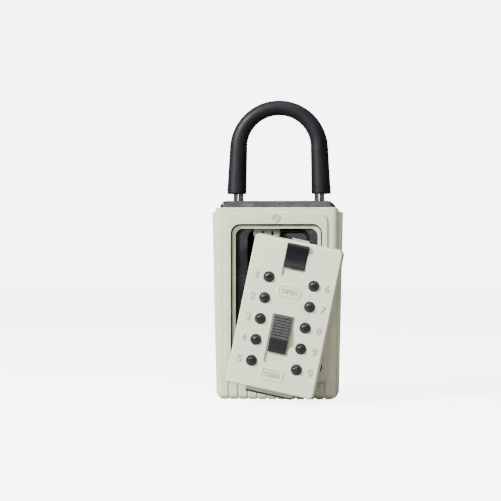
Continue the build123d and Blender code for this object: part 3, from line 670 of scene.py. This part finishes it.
# %% Put a spring in the place of each tube
def wound_spring(node, axis, turns, body):
    """A helix in the place of a tube node. axis points from the fixed end to the moving one."""
    low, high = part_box(node)
    middle, size = (low + high) / 2, high - low
    across = min(size)
    slant = Vector([abs(x) for x in axis])
    longest = max(range(3), key=lambda i: slant[i])
    other = (1 - slant[longest] ** 2) ** 0.5
    length = (size[longest] - across * other) / slant[longest]
    start = middle - axis * (length / 2 - WIRE / 2)
    points, count = rings_along(start, axis, length, across / 2, turns)
    mesh = bpy.data.meshes.new(node + "_wire")
    mesh.from_pydata(points, [], ring_faces(count))
    mesh.shade_smooth()
    mesh.materials.append(finishes["spring_steel"])
    piece = bpy.data.objects.new(node + "_wire", mesh)
    bpy.context.scene.collection.objects.link(piece)
    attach(piece, body)
    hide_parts(node)
    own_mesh(piece)


SLIDE_TURNS, RELEASE_TURNS, BUTTON_TURNS = 6, 7, 5
wound_spring("open_spring", lid_v, SLIDE_TURNS, "lid")
wound_spring("clear_spring", lid_v, SLIDE_TURNS, "lid")
wound_spring("release_spring", Vector((-1, 0, 0)), RELEASE_TURNS, "body")
for digit in "1234567890":
    spring, press = "button_spring_" + digit, f"button_{digit}_press"
    wound_spring(spring, lid_w, BUTTON_TURNS, "lid")
print("springs: 13")

# %% [markdown]
# ## Floor
# The box is shown on plain pale ground, and a large plane is enough for it. A Light Path test makes
# the floor pale where the lens sees it, and darker where the box reflects it, so that it doesn't
# wash out the black plastic.

# %% Floor
FLOOR_HALF = 3.0
FLOOR_GLOW = 5.0
FLOOR_REFLECTED, FLOOR_SEEN = 0.25, 0.9
floor_mesh = bpy.data.meshes.new("floor")
floor_corners = [(-FLOOR_HALF, -FLOOR_HALF, 0), (FLOOR_HALF, -FLOOR_HALF, 0)]
floor_corners += [(FLOOR_HALF, FLOOR_HALF, 0), (-FLOOR_HALF, FLOOR_HALF, 0)]
floor_mesh.from_pydata(floor_corners, [], [(0, 1, 2, 3)])
floor = bpy.data.objects.new("floor", floor_mesh)
bpy.context.scene.collection.objects.link(floor)
floor_paint, floor_tree, floor_shader = new_material("floor_paint", Roughness=0.9)
floor_shader.inputs["Emission Color"].default_value = grey(1.0)
floor_seen = add_node(floor_tree, "ShaderNodeLightPath")
floor_tone = add_node(floor_tree, "ShaderNodeMix", data_type="RGBA")
floor_tone.inputs[6].default_value = grey(FLOOR_REFLECTED)
floor_tone.inputs[7].default_value = grey(FLOOR_SEEN)
floor_glow = add_node(floor_tree, "ShaderNodeMath", operation="MULTIPLY")
floor_glow.inputs[1].default_value = FLOOR_GLOW
floor_tree.links.new(floor_seen.outputs["Is Camera Ray"], floor_tone.inputs[0])
floor_tree.links.new(floor_seen.outputs["Is Camera Ray"], floor_glow.inputs[0])
floor_tree.links.new(floor_tone.outputs[2], floor_shader.inputs["Base Color"])
floor_tree.links.new(floor_glow.outputs[0], floor_shader.inputs["Emission Strength"])
floor_mesh.materials.append(floor_paint)
print("floor", 2 * FLOOR_HALF, "m across")

# %% [markdown]
# ## Sky
# Every polished surface reflects the sky, so an even white one would wash out the black plastic and
# the steel too. Its light is graded: bright above and dim near the level. Where the lens sees the
# sky itself, it is plain white.

# %% Sky
SKY_WHITE, SKY_ABOVE, SKY_LEVEL = 6.5, 0.55, 0.035
world = bpy.data.worlds.new("studio_sky")
world.use_nodes = True
sky = world.node_tree
sky_place = add_node(sky, "ShaderNodeTexCoord")
sky_parts = add_node(sky, "ShaderNodeSeparateXYZ")
sky_grade = add_node(sky, "ShaderNodeMapRange", From_Min=-0.1, From_Max=0.9)
sky_grade.inputs["To Min"].default_value = SKY_LEVEL
sky_grade.inputs["To Max"].default_value = SKY_ABOVE
seen = add_node(sky, "ShaderNodeLightPath")
sky_choice = add_node(sky, "ShaderNodeMix", data_type="FLOAT")
sky_choice.inputs[3].default_value = SKY_WHITE
sky.links.new(sky_place.outputs["Generated"], sky_parts.inputs[0])
sky.links.new(sky_parts.outputs["Z"], sky_grade.inputs["Value"])
sky.links.new(sky_grade.outputs["Result"], sky_choice.inputs[2])
sky.links.new(seen.outputs["Is Camera Ray"], sky_choice.inputs["Factor"])
sky.links.new(sky_choice.outputs[0], sky.nodes["Background"].inputs["Strength"])
sky.nodes["Background"].inputs["Color"].default_value = grey(1.0)
bpy.context.scene.world = world
print("sky", world.name)

# %% [markdown]
# ## Lamps
# One lamp high on the left gives the form and the small highlight on each button. A strip overhead
# brightens what faces up. Two dim cards stand in front. A low one draws the band along the black
# casting and the bright middle of the steel rod, and a higher one is seen in the slope of the
# clearing knob. The right side stays in shade.


# %% Lamps
def soft_lamp(name, place, target, width, height, power):
    """A rectangular lamp at a place, turned to face a target."""
    lamp_data = bpy.data.lights.new(name, "AREA")
    lamp_data.shape = "RECTANGLE"
    lamp_data.size, lamp_data.size_y = width, height
    lamp_data.energy = power
    lamp = bpy.data.objects.new(name, lamp_data)
    lamp.location = place
    lamp.rotation_euler = (Vector(target) - Vector(place)).to_track_quat("-Z", "Y").to_euler()
    bpy.context.scene.collection.objects.link(lamp)


MIDDLE = (0, 0, 0.08)
soft_lamp("key", (-1.0, -0.95, 0.85), MIDDLE, 0.32, 0.32, 66)
soft_lamp("top_strip", (0.0, -0.3, 1.2), MIDDLE, 0.9, 0.2, 9)
soft_lamp("front_card", (-0.07, -1.25, 0.17), (0, 0, 0.11), 0.24, 0.06, 0.55)
soft_lamp("knob_card", (0.0, -1.1, 0.56), MIDDLE, 0.45, 0.22, 3.5)
print("lamps: 4")
